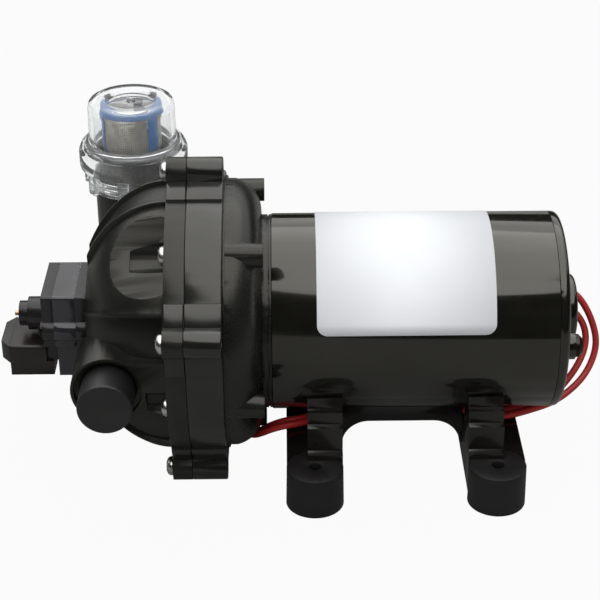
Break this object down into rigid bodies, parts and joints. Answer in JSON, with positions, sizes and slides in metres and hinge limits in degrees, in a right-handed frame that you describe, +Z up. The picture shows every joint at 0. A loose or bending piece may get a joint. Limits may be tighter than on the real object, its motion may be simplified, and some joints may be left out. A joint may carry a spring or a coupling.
{
  "type": "diaphragm water pump",
  "caption": "Motor-driven diaphragm water pump with a lobed head, an inlet strainer in a clear bowl, a pressure switch and a rubber-footed stand",
  "frame": {"origin": "centre of the four mounting holes, on the surface that the feet stand on", "axes": "X along the motor axis from the switch towards the motor's tail, Y across from the outlet to the strainer, Z up"},
  "size_m": [0.2364, 0.2083, 0.1225],
  "materials": {
    "black_plastic": "satin",
    "gloss_black": "gloss",
    "zinc_steel": "satin",
    "ferrite": "matt",
    "copper": "satin",
    "brass": "satin",
    "white_plastic": "satin",
    "seal_rubber": "matt",
    "foot_rubber": "matt",
    "label_vinyl": "satin",
    "clear_plastic": "gloss",
    "blue_plastic": "gloss",
    "switch_purple": "gloss",
    "switch_black": "gloss",
    "switch_brown": "satin",
    "cover_green": "satin",
    "red_pvc": "satin"
  },
  "bodies": {
    "pump": {"front_housing": "black_plastic", "outer_screws": "zinc_steel", "inner_screws": "zinc_steel", "housing_seal": "seal_rubber", "middle_ring": "black_plastic", "valve_plate": "white_plastic", "inlet_valves": "seal_rubber", "outlet_valve": "seal_rubber", "diaphragm": "seal_rubber", "piston_caps": "white_plastic", "pistons": "white_plastic", "piston_screws": "zinc_steel", "wobble_plate": "white_plastic", "bell_housing": "black_plastic", "front_adapter": "black_plastic", "front_bearing": "zinc_steel", "motor_can": "gloss_black", "magnets": "ferrite", "brush_card": "white_plastic", "upper_brush_spring": "zinc_steel", "lower_brush_spring": "zinc_steel", "end_cap": "gloss_black", "rear_bearing": "zinc_steel", "tie_bolts": "zinc_steel", "lead_grommet": "seal_rubber", "label": "label_vinyl", "base_stand": "gloss_black", "rubber_feet": "foot_rubber", "base_screws": "zinc_steel", "strainer_body": "black_plastic", "spigot_oring": "seal_rubber", "switch_back_plate": "black_plastic", "switch_diaphragm": "seal_rubber", "switch_body": "switch_purple", "switch_cover": "switch_black", "switch_spring": "zinc_steel", "microswitch_body": "switch_brown", "terminal_cover": "cover_green", "lead_receptacles": "red_pvc", "switch_screws": "zinc_steel", "lead_outer": "red_pvc", "lead_inner": "red_pvc"},
    "rotor": {"motor_shaft": "zinc_steel", "armature_core": "zinc_steel", "windings": "copper", "commutator": "copper", "cam_hub": "white_plastic", "cam_bearing": "zinc_steel"},
    "outlet_cap": {"outlet_cap": "black_plastic", "outlet_cap_oring": "seal_rubber"},
    "inlet_nut": {"inlet_nut": "black_plastic"},
    "basket": {"strainer_basket": "blue_plastic", "strainer_mesh": "zinc_steel"},
    "bowl": {"strainer_bowl": "clear_plastic", "bowl_oring": "seal_rubber"},
    "adjusting_screw": {"adjusting_screw": "brass"},
    "plunger": {"switch_plunger": "white_plastic"},
    "button": {"switch_button": "white_plastic"},
    "upper_brush": {"upper_brush": "ferrite"},
    "lower_brush": {"lower_brush": "ferrite"}
  },
  "joints": [
    {"name": "rotor_spin", "type": "hinge", "parent": "pump", "child": "rotor", "pos_m": [0, 0, 0.0573], "axis": [1, 0, 0], "continuous": true},
    {"name": "outlet_cap_pull", "type": "slide", "parent": "pump", "child": "outlet_cap", "axis": [0, -1, 0], "range_m": [0, 0.03]},
    {"name": "inlet_nut_turn", "type": "hinge", "parent": "pump", "child": "inlet_nut", "pos_m": [-0.1108, 0.0523, 0.0495], "axis": [0, 1, 0], "continuous": true},
    {"name": "basket_lift", "type": "slide", "parent": "pump", "child": "basket", "axis": [0, 0, 1], "range_m": [0, 0.06]},
    {"name": "bowl_turn", "type": "hinge", "parent": "basket", "child": "bowl", "pos_m": [-0.1108, 0.1, 0.085], "axis": [0, 0, 1], "range_deg": [0, 540]},
    {"name": "adjuster_turn", "type": "hinge", "parent": "pump", "child": "adjusting_screw", "pos_m": [-0.146, 0, 0.0573], "axis": [1, 0, 0], "range_deg": [-360, 360]},
    {"name": "plunger_press", "type": "slide", "parent": "pump", "child": "plunger", "axis": [-1, 0, 0], "range_m": [0, 0.0008], "stiffness_N_per_m": 800, "springref_m": -0.001, "deforming": ["switch_spring"]},
    {"name": "button_press", "type": "slide", "parent": "pump", "child": "button", "axis": [-1, 0, 0], "range_m": [0, 0.0008]},
    {"name": "upper_brush_wear", "type": "slide", "parent": "pump", "child": "upper_brush", "axis": [0, 0, 1], "range_m": [0, 0.004], "stiffness_N_per_m": 150, "springref_m": -0.004, "deforming": ["upper_brush_spring"]},
    {"name": "lower_brush_wear", "type": "slide", "parent": "pump", "child": "lower_brush", "axis": [0, 0, -1], "range_m": [0, 0.004], "stiffness_N_per_m": 150, "springref_m": -0.004, "deforming": ["lower_brush_spring"]}
  ],
  "couplings": [
    {"joint": "button_press", "follows": "plunger_press", "ratio": 1}
  ]
}
